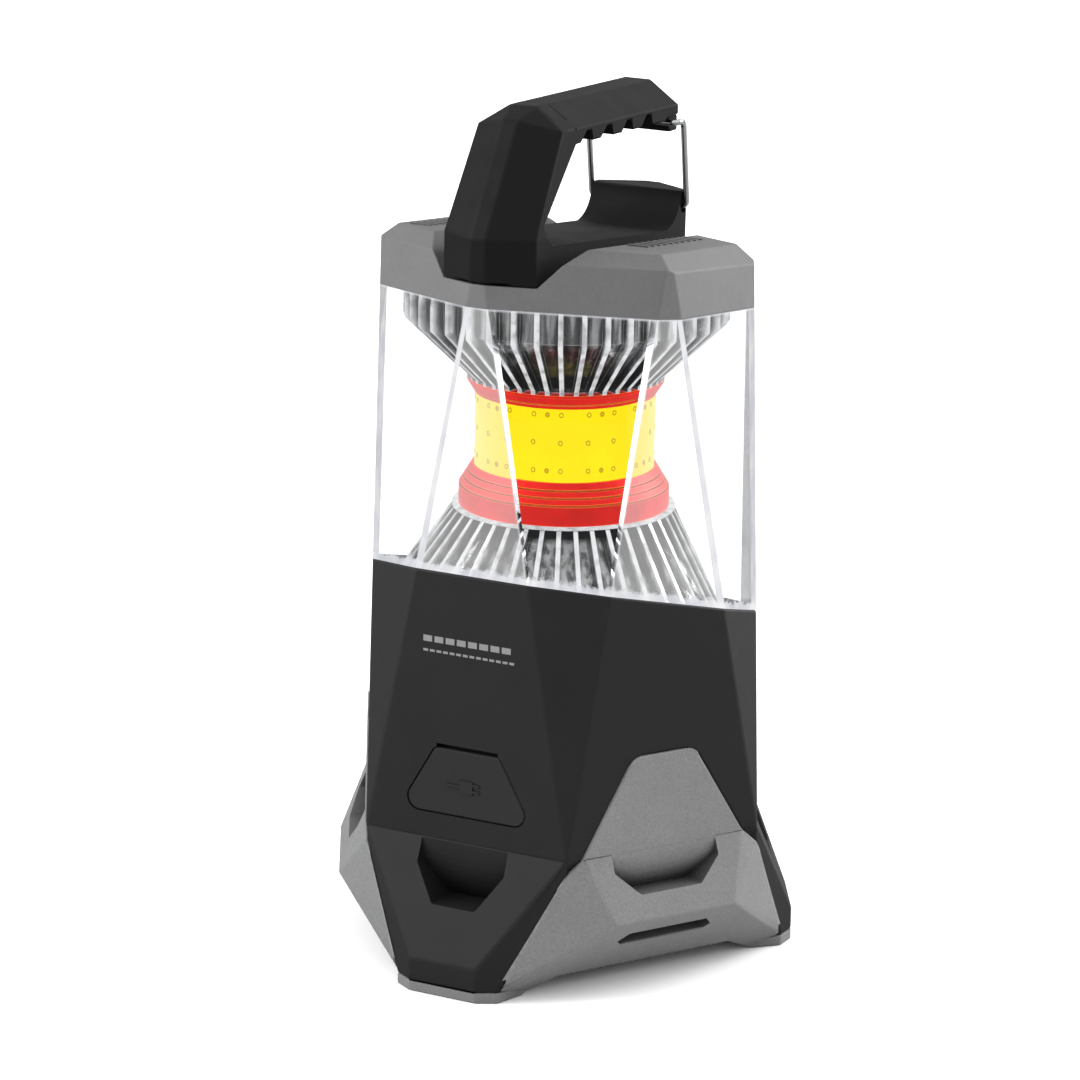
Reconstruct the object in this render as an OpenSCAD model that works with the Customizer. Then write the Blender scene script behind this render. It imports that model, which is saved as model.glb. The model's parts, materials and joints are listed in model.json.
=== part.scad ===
// Rechargeable LED lantern, six sided, on three flared feet with a clip handle.
// Origin: centre of the body on the plane the feet stand on. +Z up, the charging door faces -Y.

/* [Body] */
// Corner radius of the widest section of the body
knee_r = 55; // [50:0.5:60]
// Height of the widest section
knee_z = 36; // [32:0.5:40]
// Corner radius the body narrows to, where the side triangles close
apex_r = 44.86; // [40:0.1:48]
// Height at which the side triangles close
apex_z = 182.3; // [175:0.1:190]
// Corner radius of the body at its underside
sole_r = 42; // [40:0.5:44]
// Underside of the body
sole_z = 5.9; // [5:0.1:8]
// Wall of the body
wall = 2.8; // [2:0.1:4]
// Height at which the lens meets the body, on the axis
lens_z = 89.94; // [85:0.1:95]
// Fall of that joint from front to back, as a slope
lens_slope = 0.262; // [0:0.001:0.4]

/* [Feet] */
// Reach of a dark foot
foot_r = 58.3; // [56:0.1:60]
// Half width of a foot at its toe
foot_half = 9.05; // [7:0.05:12]
// Top of the upright toe of a foot
toe_z = 8.4; // [6:0.1:11]
// Thickness of the rubber sole under a foot
sole_t = 2.75; // [2:0.05:4]
// Drop below the widest section at which the flank of a foot meets the bumper
split_drop = 4; // [3:0.1:8]
// Half distance between the lower ends of the two flanks of a foot
split_half = 13.9; // [11:0.1:18]

/* [Bumper] */
// Half width of the bumper where it leaves the body
bump_half = 22.7; // [18:0.1:26]
// Reach of the ridge
ridge_r = 54.4; // [50:0.1:56]
// Half width of the ridge
ridge_half = 17.1; // [14:0.1:22]
// Height of the ridge
ridge_z = 19.9; // [15:0.1:25]
// Top of the tongue that lies on the body
tongue_z = 59; // [50:0.5:64]
// Half width of the tongue at its top
tongue_half = 8.7; // [6:0.1:12]
// How far the tongue stands proud of the body
proud = 0.35; // [0.1:0.05:1]
// Height of the arch between the feet
arch_z = 4.35; // [2:0.05:8]
// Half width of the flat of the arch
arch_half = 24.8; // [20:0.1:28]
// Distance of the lower edge of the arch from the axis
arch_r = 40; // [38:0.5:44]
// Clearance round the rubber parts
soft_gap = 0.1; // [0.05:0.05:0.3]

/* [Port door] */
// Lower edge of the door above the widest section
door_low = 6.2; // [4:0.1:10]
// Height of the door
door_h = 16.3; // [12:0.1:20]
// Half width of the door at its lower edge
door_half_low = 18.4; // [16:0.1:20]
// Half width of the door at its upper edge
door_half_top = 8.9; // [8:0.1:14]
// Thickness of the door
door_t = 2.2; // [1.5:0.1:3]
// Hinge pin diameter
door_pin_d = 1.2; // [1:0.1:2]
// Gap round the door
door_gap = 0.2; // [0.15:0.05:0.4]

/* [Power button] */
// Diameter of the button
button_d = 10; // [8:0.5:11]
// Height of the button
button_z = 65.4; // [64:0.1:67]
// Travel of the button
button_travel = 0.8; // [0.5:0.1:1.5]

/* [Lens and lamp] */
// Wall of the lens
lens_wall = 2.8; // [2:0.1:4]
// Height of the joint between lens and cap, on the axis
cap_z = 161.88; // [158:0.1:165]
// Fall of that joint and of the cap from front to back, as a slope
cap_slope = 0.108; // [0:0.001:0.2]
// Radius of the lit tube
tube_r = 21.3; // [18:0.1:24]
// Bottom of the lit tube
tube_z = 118.8; // [115:0.1:122]
// Top of the lit tube
tube_top = 138.4; // [135:0.1:142]
// Radius of the lower ring
ring_r = 25.1; // [22:0.1:28]
// Seat of the lower ring on the reflector
seat_z = 110.4; // [105:0.1:115]
// Radius of the upper ring at its top
upper_ring_r = 23.4; // [22:0.1:26]
// Seat of the upper ring under its reflector
upper_seat_z = 142.2; // [140:0.1:145]
// Radius of the upper reflector at the cap
upper_refl_r = 38.1; // [34:0.1:40]
// Top of the tapered part of the upper reflector
upper_refl_z = 157.2; // [150:0.1:160]
// Radius of the collar on the lower reflector
collar_r = 26.7; // [25.5:0.1:30]
// Radius of the lower reflector at the deck
lower_refl_r = 40.2; // [36:0.1:41]
// Number of fins round each reflector
fins = 42; // [24:2:60]
// Thickness of a fin
fin_t = 1.1; // [0.8:0.1:2]
// Depth of the troughs between fins
fin_depth = 3.2; // [1:0.1:5]

/* [Cap and handle] */
// Height of the lower edge of the cap's bevel, on the axis
bevel_z = 173.6; // [170:0.1:176]
// Height of the top of the cap, on the axis
top_z = 177; // [174:0.1:182]
// Corner radius of the top of the cap
top_r = 40.8; // [38:0.1:44]
// Height of the floor of the channel the handle lies in, on the axis
channel_z = 167.5; // [165:0.1:170]
// Half width of the channel at the top of the cap
channel_half = 20.5; // [16:0.1:24]
// Half width of the handle at its base
base_half = 12.35; // [10:0.05:15]
// Half width of the handle at the grip
grip_half = 11.4; // [10:0.1:14]
// Half width of the flat along the top of the grip
crown_half = 3.5; // [2:0.1:6]
// Height of the top of the grip over the post
crown_z = 211.5; // [200:0.1:220]
// Rear end of the grip
grip_end = 35.5; // [30:0.1:40]
// Number of finger notches
notches = 4; // [2:1:6]
// Spacing of the finger notches
notch_pitch = 10.35; // [8:0.05:14]

/* [Gate] */
// Wire diameter
wire_d = 1.5; // [1:0.1:2.5]
// Half distance between the legs
leg_half = 13.15; // [12.5:0.05:15]
// Distance of the pivot behind the axis
pivot_y = 37.6; // [35:0.1:40]
// Height of the pivot
pivot_z = 178.8; // [176:0.1:182]
// Lean of the closed gate
gate_lean = 7.6; // [0:0.1:15]
// Height of the crossbar above the pivot, along the legs
gate_h = 22.2; // [15:0.1:30]

/* [Cells] */
// Diameter of a cell
cell_d = 18.4; // [14:0.1:21]
// Length of a cell
cell_h = 65; // [50:0.5:70]
// Distance of each cell from the axis
cell_ring = 17; // [12:0.5:20]

/* [Hidden] */
$fn = 96;
knee_face = knee_r * cos(30);
sole_face = sole_r * cos(30);
face_tilt = atan((knee_face - apex_r) / (apex_z - knee_z));
lens_tilt = atan(lens_slope);
cap_tilt = atan(cap_slope);
lip = 1.3;
lip_gap = 0.1;
skirt_low = 3.7;
skirt_high = 2.4;
deck_top = lens_z - 4.6;
deck_t = 2;
post_r = 44;
seal_t = 0.7;
ceiling = cap_z + 3.3;
door_depth = door_t / 2;
door_pivot = 3.9;
hinge_room = 4.3;
foot_tuck = 0.15;
flank_slope = (foot_r - knee_face) / (knee_r / 2 - foot_half);
split_r = foot_r - flank_slope * (split_half - foot_half);
pocket_top = 0.3;
pocket_bend = 24;
slot_depth = 2.6;
run_gap = 0.07;
bend_r = 2;
turn_r = 1.5;
arch_tilt = atan((ridge_r - arch_r) / (ridge_z - arch_z));
door_mid = door_low + 8.2;
usb_a_x = -5.6;
usb_c_x = 9.2;
board_back = 32.2;
board_t = 1.6;
board_screw_x = 21;
plate_t = 2.4;
plate_z = sole_z - seal_t - plate_t - 0.1;
tray_z = sole_z - seal_t + 0.1;
cell_z = tray_z + 2.65;
cell_top = cell_z + cell_h;
tray_r = cell_d / 2 + 1.5;
switch_front = 4.8;
switch_h = 4.4;
switch_screw_x = 9.5;
bolt_d = 5;
bolt_seat = 80;
bolt_end = 174.5;
core_r = tube_r - 3.3;
core_bore = 12;
cable_x = 8;
bevel_slope = (apex_r + 0.2 - top_r) / (top_z - bevel_z);
channel_slope = (channel_half - base_half - 0.1) / (top_z - channel_z);
nub_z = 183;
nub_bend = 9;
collar_t = 0.5;

// ---- shared shapes ----

// Six corners at radius r and height z, the first one at angle a from the front.
function corners(r, z, a) = [for (i = [0 : 5]) [r * sin(a + 60 * i), -r * cos(a + 60 * i), z]];

// Both mirror images of one corner given as half width, distance to the front, and height.
function pair(x, r, z) = [[x, -r, z], [-x, -r, z]];

module solid_round(points) {
    hull()
        polyhedron(points = points, faces = [for (i = [1 : len(points) - 2]) [0, i, i + 1]]);
}

module around(angle) {
    rotate([0, 0, angle])
        children();
}

// Frame on a side face: x across, y up the face from the widest section, z outwards.
module on_face(angle) {
    around(angle)
        translate([0, -knee_face, knee_z])
            rotate([90 - face_tilt, 0, 0])
                children();
}

// Frame on the sloping underside of the bumper: x across, y up the slope from below, z outwards.
module on_undercut(angle) {
    around(angle)
        translate([0, -ridge_r, ridge_z])
            rotate([90 + arch_tilt, 0, 0])
                children();
}

module in_deck_frame(z) {
    translate([0, 0, z])
        rotate([-lens_tilt, 0, 0])
            children();
}

module in_cap_frame(z) {
    translate([0, 0, z])
        rotate([-cap_tilt, 0, 0])
            children();
}

module slab(size, low, high) {
    translate([-size / 2, -size / 2, low])
        cube([size, size, high - low]);
}

// The outer skin of body, lens and cap, drawn in by an inset.
module skin(inset) {
    in = inset / cos(30);
    solid_round(concat(corners(sole_r - in, sole_z, 30), corners(knee_r - in, knee_z, 30),
        corners(apex_r - in, apex_z, 0)));
}

// Foot: its flanks are upright, and each ends on a line from under the knee to the ground.
module foot(grow) {
    top_x = knee_r / 2 - foot_tuck + grow;
    top_face = knee_face - foot_tuck + grow;
    solid_round(concat(pair(top_x, top_face, knee_z - foot_tuck), pair(top_x, top_face, knee_z - split_drop),
        pair(foot_half + grow, foot_r + grow, toe_z), pair(foot_half + grow, foot_r + grow, sole_t),
        pair(split_half + grow, split_r + grow, sole_t), pair(split_half + grow, 34, sole_t),
        pair(top_x, 34, knee_z - split_drop), pair(top_x, 34, knee_z - foot_tuck)));
}

// A corner of a foot, given as half width and distance to its front, as the side face beside it sees it.
function beside(x, r) = [r * sin(60) - x * cos(60), x * sin(60) + r * cos(60)];

module flare() {
    toe = beside(foot_half, foot_r);
    solid_round(concat(pair(bump_half, knee_face - 0.05, knee_z + 0.4),
        pair(knee_r / 2, knee_face - 0.05, knee_z - split_drop), pair(ridge_half, ridge_r, ridge_z),
        pair(toe[0], toe[1], sole_t), pair(toe[0] - 0.2, toe[1] - 0.3, 0), pair(33.5, 35.2, 0),
        pair(arch_half, arch_r, arch_z), pair(30, 30, 0), pair(20, 32, knee_z)));
}

module rounded(points, r) {
    offset(r = r)
        offset(delta = -r)
            polygon(points);
}

// Upright trapezoid, given as half widths and heights of its two ends, with a corner radius for each end.
module trapezoid(low_half, low_y, top_half, top_y, low_r, top_r) {
    run = 8;
    widen = run * (low_half - top_half) / (top_y - low_y);
    intersection() {
        rounded([[-low_half, low_y], [low_half, low_y], [top_half - widen, top_y + run],
            [widen - top_half, top_y + run]], low_r);
        rounded([[-low_half - widen, low_y - run], [low_half + widen, low_y - run], [top_half, top_y],
            [-top_half, top_y]], top_r);
    }
}

module tongue_outline(grow) {
    offset(delta = grow)
        trapezoid(bump_half + 0.4, -0.4, tongue_half, tongue_z - knee_z, 0, 3.8);
}

module door_outline(grow) {
    offset(delta = grow)
        trapezoid(door_half_low, door_low, door_half_top, door_low + door_h, 3.2, 1.4);
}

module pocket_outline(top_half, side_half, side_y, low_half, low_y) {
    intersection() {
        rounded([[-top_half, 8], [-side_half, side_y], [-low_half, low_y], [low_half, low_y],
            [side_half, side_y], [top_half, 8]], 1.2);
        translate([-40, -40])
            square([80, 40 + pocket_top]);
    }
}

// Hollow in a side face. Its floor leaves the face flush at the top and bends inwards below.
module pocket(face) {
    difference() {
        translate([0, 0, -8])
            linear_extrude(height = 22)
                children();
        translate([0, pocket_top, face - pocket_bend])
            rotate([0, 90, 0])
                cylinder(r = pocket_bend, h = 80, center = true);
    }
}

module ring_cylinder(outer, inner, h) {
    difference() {
        cylinder(r = outer, h = h);
        translate([0, 0, -1])
            cylinder(r = inner, h = h + 2);
    }
}

module spread(radius, first) {
    for (i = [0 : 2])
        rotate([0, 0, first + 120 * i])
            translate([0, -radius, 0])
                children();
}

// Pan head screw standing on its head, thread upwards.
module pan_screw(d, length, head_d, head_h) {
    difference() {
        union() {
            cylinder(d = d, h = length);
            translate([0, 0, -head_h])
                cylinder(d = head_d, h = head_h);
        }
        translate([0, 0, -head_h - 0.01]) {
            translate([-head_d * 0.3, -0.4, 0])
                cube([head_d * 0.6, 0.8, head_h * 0.55]);
            translate([-0.4, -head_d * 0.3, 0])
                cube([0.8, head_d * 0.6, head_h * 0.55]);
        }
    }
}

// ---- body ----

module deck_posts(d) {
    spread(post_r, 90)
        translate([0, 0, -18])
            cylinder(d = d, h = 16 - lip_gap);
}

module shell_inside() {
    spread(31, 0)
        translate([0, 0, sole_z])
            cylinder(d = 8, h = 12);
    intersection() {
        skin(wall / 2);
        in_deck_frame(deck_top) {
            deck_posts(8);
            spread(post_r + 3, 90)
                translate([-1.5, -3, -18])
                    cube([3, 6, 16 - lip_gap]);
        }
    }
    on_face(0)
        translate([-17.5, door_low - 1.5, -door_depth - hinge_room - 1.2])
            cube([35, door_h + 3.2, door_depth + hinge_room + 0.2]);
    on_face(180)
        for (s = [-1, 1])
            translate([s * switch_screw_x, button_z - knee_z, -switch_front - switch_h - 0.05])
                cylinder(d = 4.4, h = switch_front + switch_h - 1);
    for (s = [-1, 1])
        translate([s * board_screw_x, -board_back - board_t - 0.05, knee_z + door_mid])
            rotate([90, 0, 0])
                cylinder(d = 6, h = knee_face - board_back - board_t - wall);
}

module housing() {
    color("#2b2c2e")
        difference() {
            union() {
                difference() {
                    union() {
                        intersection() {
                            skin(0);
                            in_deck_frame(lens_z)
                                slab(160, -140, -0.02);
                        }
                        for (a = [0, 120, 240])
                            around(a)
                                foot(0);
                    }
                    skin(wall);
                }
                shell_inside();
            }
            intersection() {
                skin(lip);
                in_deck_frame(deck_top + lip_gap)
                    slab(160, 0, 40);
            }
            translate([0, 0, sole_z - 6])
                cylinder(r = sole_r + 0.2, h = 6, $fn = 6);
            spread(31, 0)
                translate([0, 0, sole_z - 1])
                    cylinder(d = 2.6, h = 11);
            in_deck_frame(deck_top)
                deck_posts(2.3);
            for (a = [60, 180, 300])
                on_face(a)
                    translate([0, 0, -1.2 - soft_gap])
                        linear_extrude(height = 10)
                            tongue_outline(soft_gap);
            for (a = [0, 120, 240]) {
                on_face(a)
                    pocket(0)
                        pocket_outline(11.6, 11.9, -6.2, 5.9, -15);
                around(a)
                    translate([0, 0, sole_t - 0.5])
                        linear_extrude(height = 11)
                            polygon([[-6.5, -54], [6.5, -54], [12, -48], [12, -44], [-12, -44], [-12, -48]]);
            }
            on_face(0)
                door_cuts();
            on_face(180) {
                translate([0, button_z - knee_z, -8])
                    cylinder(d = button_d + 2 * run_gap, h = 16);
                for (s = [-1, 1])
                    translate([s * switch_screw_x, button_z - knee_z, -switch_front - switch_h - 1])
                        cylinder(d = 1.7, h = 6);
            }
            for (s = [-1, 1])
                translate([s * board_screw_x, -board_back - board_t + 1, knee_z + door_mid])
                    rotate([90, 0, 0])
                        cylinder(d = 1.7, h = 7);
        }
}

module door_cuts() {
    translate([0, 0, -door_t - 0.15])
        linear_extrude(height = 10)
            door_outline(door_gap);
    translate([-8.4, door_low + door_h - 1.6, -door_t - 0.15])
        cube([16.8, 2.8, 10]);
    translate([-18, door_low + door_pivot, -door_depth])
        rotate([0, 90, 0])
            cylinder(d = door_pin_d + 2 * run_gap, h = 36);
    // room behind the hinge for the lower edge as it turns in
    translate([-16.3, door_low - 0.2, -door_depth - hinge_room])
        cube([32.6, door_pivot + 3.5, door_depth + hinge_room - 0.5]);
    translate([usb_a_x, door_mid, -door_t - 8])
        cube([13.7, 6.3, 16], center = true);
    translate([usb_c_x, door_mid, -door_t - 8])
        cube([9.5, 3.8, 16], center = true);
}

module arch() {
    rotate([90, 0, 0])
        linear_extrude(height = 80)
            polygon([[-33.5, -1], [33.5, -1], [33.5, 0], [arch_half, arch_z], [-arch_half, arch_z],
                [-33.5, 0]]);
}

module boot() {
    color("#85868a")
        difference() {
            union() {
                for (a = [60, 180, 300])
                    around(a)
                        flare();
                for (a = [60, 180, 300])
                    on_face(a)
                        translate([0, 0, -1.2])
                            linear_extrude(height = 1.2 + proud)
                                tongue_outline(0);
                for (a = [0, 120, 240])
                    around(a)
                        linear_extrude(height = sole_t - soft_gap)
                            polygon([[-foot_half, -foot_r], [foot_half, -foot_r], [split_half, -split_r],
                                [20, -33], [-20, -33], [-split_half, -split_r]]);
            }
            difference() {
                skin(-soft_gap);
                for (a = [60, 180, 300])
                    on_face(a)
                        translate([0, 0, -1.2])
                            linear_extrude(height = 1.6)
                                tongue_outline(0.03);
            }
            for (a = [0, 120, 240])
                around(a)
                    foot(soft_gap);
            translate([0, 0, -1])
                cylinder(r = sole_r + 0.3, h = sole_z + 1.2, $fn = 6);
            for (a = [60, 180, 300]) {
                around(a)
                    arch();
                on_face(a)
                    pocket(proud)
                        pocket_outline(14.8, 14.9, -4.6, 8.6, -10.3);
                on_undercut(a)
                    translate([0, 0, -slot_depth])
                        linear_extrude(height = slot_depth + 4)
                            polygon([[-10.9, -5.4], [10.9, -5.4], [13.4, -8.2], [11.7, -10.1],
                                [-11.7, -10.1], [-13.4, -8.2]]);
            }
        }
}

module bottom_plate() {
    color("#3a3b3d")
        translate([0, 0, plate_z])
            difference() {
                cylinder(r = sole_r - 0.2, h = plate_t, $fn = 6);
                spread(31, 0) {
                    translate([0, 0, -1])
                        cylinder(d = 3.4, h = 6);
                    translate([0, 0, -1])
                        cylinder(d = 6.2, h = 2.3);
                }
            }
}

module bottom_seal() {
    color("#55565a")
        translate([0, 0, plate_z + plate_t + 0.05])
            difference() {
                cylinder(r = sole_r - 0.2, h = seal_t, $fn = 6);
                translate([0, 0, -1])
                    cylinder(r = sole_r - 3, h = 3, $fn = 6);
            }
}

module base_screws() {
    color("#b9bcc0")
        spread(31, 0)
            translate([0, 0, plate_z + 1.28])
                pan_screw(2.5, 9, 5.6, 1.3);
}

// ---- cells ----

module cell() {
    difference() {
        cylinder(d = cell_d, h = cell_h - 0.8);
        translate([0, 0, cell_h - 2])
            ring_cylinder(cell_d, cell_d / 2 - 0.4, 0.5);
    }
    cylinder(d = 6, h = cell_h);
}

module cell_at(angle) {
    around(angle)
        translate([0, -cell_ring, cell_z])
            cell();
}

module cell_left() {
    color("#3f7fb5")
        cell_at(300);
}

module cell_right() {
    color("#3f7fb5")
        cell_at(60);
}

module cell_rear() {
    color("#3f7fb5")
        cell_at(180);
}

module strap(grow) {
    spread(0, 60)
        translate([-3.5 - grow, -cell_ring - 2 - grow, 0])
            cube([7 + 2 * grow, cell_ring + 2 + grow, 0.25 + 2 * grow]);
}

module tray(h) {
    difference() {
        union() {
            spread(cell_ring, 60)
                cylinder(r = tray_r, h = h);
            cylinder(r = cell_ring, h = 2.2);
        }
        translate([0, 0, 2.6])
            spread(cell_ring, 60)
                cylinder(d = cell_d + 0.2, h = h);
        translate([0, 0, 2.25])
            strap(0.05);
        translate([0, 0, 2.2])
            strap(0.1);
        translate([0, 0, -1])
            cylinder(d = 7, h = h);
    }
}

module tray_lower() {
    color("#d9d9d4")
        translate([0, 0, tray_z])
            tray(8);
}

module tray_upper() {
    color("#d9d9d4")
        translate([0, 0, cell_top + 2.65])
            mirror([0, 0, 1])
                tray(8);
}

module strap_lower() {
    color("#cfd2d4")
        translate([0, 0, tray_z + 2.3])
            strap(0);
}

module strap_upper() {
    color("#cfd2d4")
        translate([0, 0, cell_top + 0.1])
            strap(0);
}

// ---- electronics ----

module board_holes() {
    for (s = [-1, 1])
        translate([s * board_screw_x, 0, knee_z + door_mid])
            rotate([90, 0, 0])
                cylinder(d = 2.2, h = 60);
}

module main_board() {
    color("#1f6b3d")
        difference() {
            union() {
                translate([-24, -board_back - board_t, 39])
                    cube([48, board_t, 31]);
                translate([-18, -board_back - 0.01, 44])
                    cube([9, 3, 8]);
                translate([-6, -board_back - 0.01, 58])
                    cube([8, 1.6, 8]);
                translate([10, -board_back - 0.01, 60])
                    rotate([-90, 0, 0])
                        cylinder(d = 6.3, h = 7);
            }
            board_holes();
        }
}

module board_screw() {
    pan_screw(1.6, 6, 3.4, 1.1);
}

module board_screws() {
    color("#b9bcc0") {
        for (s = [-1, 1])
            translate([s * board_screw_x, -board_back + 0.02, knee_z + door_mid])
                rotate([90, 0, 0])
                    board_screw();
        on_face(180)
            for (s = [-1, 1])
                translate([s * switch_screw_x, button_z - knee_z, -switch_front - switch_h - board_t - 0.12])
                    board_screw();
    }
}

module socket_shell(w, h, depth, t, r) {
    rotate([90, 0, 0])
        difference() {
            linear_extrude(height = depth)
                rounded([[-w / 2, -h / 2], [w / 2, -h / 2], [w / 2, h / 2], [-w / 2, h / 2]], r);
            translate([0, 0, 1])
                linear_extrude(height = depth)
                    rounded([[-w / 2 + t, -h / 2 + t], [w / 2 - t, -h / 2 + t], [w / 2 - t, h / 2 - t],
                        [-w / 2 + t, h / 2 - t]], max(r - t, 0.05));
        }
}

module usb_a_socket() {
    color("#c4c7ca")
        translate([usb_a_x, -board_back - board_t - 0.02, knee_z + door_mid]) {
            socket_shell(13.1, 5.7, 10.4, 0.3, 0.6);
            translate([-5.5, -9, 0.4])
                cube([11, 8.5, 1.8]);
        }
}

module usb_c_socket() {
    color("#c4c7ca")
        translate([usb_c_x, -board_back - board_t - 0.02, knee_z + door_mid]) {
            socket_shell(8.94, 3.16, 10.4, 0.3, 1.5);
            translate([-3.3, -9, -0.35])
                cube([6.6, 8.5, 0.7]);
        }
}

module port_door() {
    color("#2f3032")
        on_face(0) {
            hull() {
                translate([0, 0, -door_t])
                    linear_extrude(height = door_t - 0.4)
                        door_outline(0);
                translate([0, 0, -0.4])
                    linear_extrude(height = 0.4)
                        door_outline(-0.35);
            }
            translate([-17.4, door_low + door_pivot, -door_depth])
                rotate([0, 90, 0])
                    cylinder(d = door_pin_d, h = 34.8);
            translate([0, door_mid - 0.6, -0.05])
                linear_extrude(height = 0.3)
                    plug_symbol();
        }
}

// A plain plug outline: body, two blades and a cord.
module plug_symbol() {
    translate([-1.8, -1.6])
        square([3.6, 3.2]);
    translate([1.8, 0.5])
        square([1.8, 0.6]);
    translate([1.8, -1.1])
        square([1.8, 0.6]);
    translate([-5.2, -0.3])
        square([3.5, 0.6]);
}

module power_button() {
    color("#d4502a")
        on_face(180)
            translate([0, button_z - knee_z, 0]) {
                translate([0, 0, -3.4])
                    cylinder(d = button_d, h = 3.6);
                translate([0, 0, 0.2])
                    cylinder(d1 = button_d, d2 = button_d - 1, h = 0.5);
                translate([0, 0, -3.95])
                    cylinder(d = button_d + 1.6, h = 1);
            }
}

module switch() {
    color("#1c1c1e")
        on_face(180)
            translate([0, button_z - knee_z, -switch_front - switch_h]) {
                translate([-3, -3, 0])
                    cube([6, 6, switch_h - 1]);
                cylinder(d = 3.4, h = switch_h);
            }
}

module switch_board() {
    color("#1f6b3d")
        on_face(180)
            translate([0, button_z - knee_z, -switch_front - switch_h - board_t - 0.1])
                difference() {
                    translate([-12, -4.6, 0])
                        cube([24, 9.2, board_t]);
                    for (s = [-1, 1])
                        translate([s * switch_screw_x, 0, -1])
                            cylinder(d = 2.2, h = 4);
                }
}

// ---- deck and lens ----

module deck() {
    color("#e4e6e8")
        difference() {
            union() {
                intersection() {
                    skin(wall + 0.15);
                    in_deck_frame(deck_top)
                        slab(160, -deck_t, 0);
                }
                intersection() {
                    translate([0, 0, bolt_seat])
                        cylinder(d = 14, h = 12);
                    in_deck_frame(deck_top)
                        slab(60, -20, -0.5);
                }
            }
            translate([0, 0, bolt_seat - 5])
                cylinder(d = bolt_d + 0.1, h = 20);
            translate([cable_x, 0, bolt_seat - 5])
                cylinder(d = 4, h = 20);
            in_deck_frame(deck_top)
                spread(post_r, 90)
                    translate([0, 0, -5])
                        cylinder(d = 2.8, h = 10);
        }
}

module deck_screws() {
    color("#b9bcc0")
        in_deck_frame(deck_top)
            spread(post_r, 90)
                rotate([180, 0, 0])
                    translate([0, 0, -0.02])
                        pan_screw(2.2, 10, 4.6, 1.4);
}

module lens_ring(outer, z_low, z_high) {
    difference() {
        skin(outer);
        skin(lens_wall);
        in_deck_frame(z_low)
            slab(300, -160, 0);
        in_cap_frame(z_high)
            slab(300, 0, 100);
    }
}

module lens() {
    color([0.9, 0.95, 1, 0.35]) {
        lens_ring(0, lens_z, cap_z);
        lens_ring(lip + lip_gap, lens_z - skirt_low, cap_z + skirt_high);
    }
}

module lens_seal_lower() {
    color("#55565a")
        difference() {
            intersection() {
                skin(lip + lip_gap);
                in_deck_frame(deck_top + lip_gap)
                    slab(160, 0.02, seal_t);
            }
            skin(lens_wall - 0.1);
        }
}

module lens_seal_upper() {
    color("#55565a")
        difference() {
            intersection() {
                skin(lip + lip_gap);
                in_cap_frame(cap_z + skirt_high)
                    slab(160, 0.1, 0.1 + seal_t);
            }
            skin(lens_wall);
        }
}

// ---- lamp ----

module fin_set(inner, outer) {
    for (i = [0 : fins - 1])
        rotate([0, 0, 360 / fins * (i + 0.5)])
            translate([inner, -fin_t / 2])
                square([outer - inner, fin_t]);
}

module skirt_cone(drop) {
    hull() {
        translate([0, 0, seat_z - 1.5])
            cylinder(r = collar_r - 0.4 - drop, h = 1.3, $fn = 84);
        in_deck_frame(deck_top + 0.1)
            cylinder(r = lower_refl_r - drop, h = 0.8, $fn = 84);
    }
}

module lower_reflector() {
    color("#d5d8dc")
        difference() {
            union() {
                intersection() {
                    skirt_cone(0);
                    translate([0, 0, 60])
                        linear_extrude(height = 60)
                            fin_set(8, 46);
                }
                skirt_cone(fin_depth);
                translate([0, 0, seat_z - collar_t])
                    cylinder(r = collar_r, h = collar_t);
            }
            skirt_hollow();
            translate([0, 0, 60])
                cylinder(r = core_bore, h = 60);
        }
}

module skirt_hollow() {
    intersection() {
        translate([0, 0, -1.6])
            skirt_cone(fin_depth + 2);
        translate([0, 0, 60])
            cylinder(r = 60, h = seat_z - 63);
    }
}

module lower_ring() {
    groove_step = (tube_z + 1.4 - seat_z - 4.9) / 3;
    color("#b3261c")
        difference() {
            rotate_extrude()
                polygon([[core_r + 0.1, seat_z + 0.05], [ring_r, seat_z + 0.05], [ring_r, seat_z + 4.8],
                    [tube_r + 0.6, tube_z + 1.6], [tube_r + 0.1, tube_z + 1.6], [tube_r + 0.1, tube_z - 0.1],
                    [core_r + 0.1, tube_z - 0.1]]);
            for (i = [0 : 2])
                translate([0, 0, seat_z + 4.8 + groove_step * i])
                    ring_cylinder(ring_r + 3, ring_r - 0.7 - i * 1.15, 0.4);
        }
}

module light_tube() {
    color("#ffd400")
        translate([0, 0, tube_z])
            ring_cylinder(tube_r, core_r + 0.1, tube_top - tube_z);
}

module lamp_core() {
    color("#c9ccd0")
        translate([0, 0, seat_z + 0.05])
            ring_cylinder(core_r, core_bore, upper_seat_z - seat_z - 0.1);
}

module upper_ring() {
    color("#b3261c")
        difference() {
            rotate_extrude()
                polygon([[core_r + 0.1, tube_top + 0.05], [tube_r + 0.2, tube_top + 0.05],
                    [upper_ring_r, upper_seat_z - 0.7], [upper_ring_r, upper_seat_z - 0.05],
                    [core_r + 0.1, upper_seat_z - 0.05]]);
            translate([0, 0, tube_top + 1])
                ring_cylinder(upper_ring_r + 2, tube_r + 0.2, 0.3);
        }
}

// Half outline of the upper reflector, drawn in by a depth.
module bell_outline(in) {
    polygon([[5, upper_seat_z], [upper_ring_r - in, upper_seat_z], [upper_ring_r - in, upper_seat_z + 0.8],
        [upper_refl_r - in, upper_refl_z], [upper_refl_r - in, ceiling + 8], [5, ceiling + 8]]);
}

module bell_hollow() {
    rotate_extrude()
        polygon([[0, upper_seat_z + 2.5], [upper_ring_r - fin_depth - 4, upper_seat_z + 2.5],
            [upper_refl_r - fin_depth - 2.2, upper_refl_z], [upper_refl_r - fin_depth - 2.2, ceiling + 12],
            [0, ceiling + 12]]);
}

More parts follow.
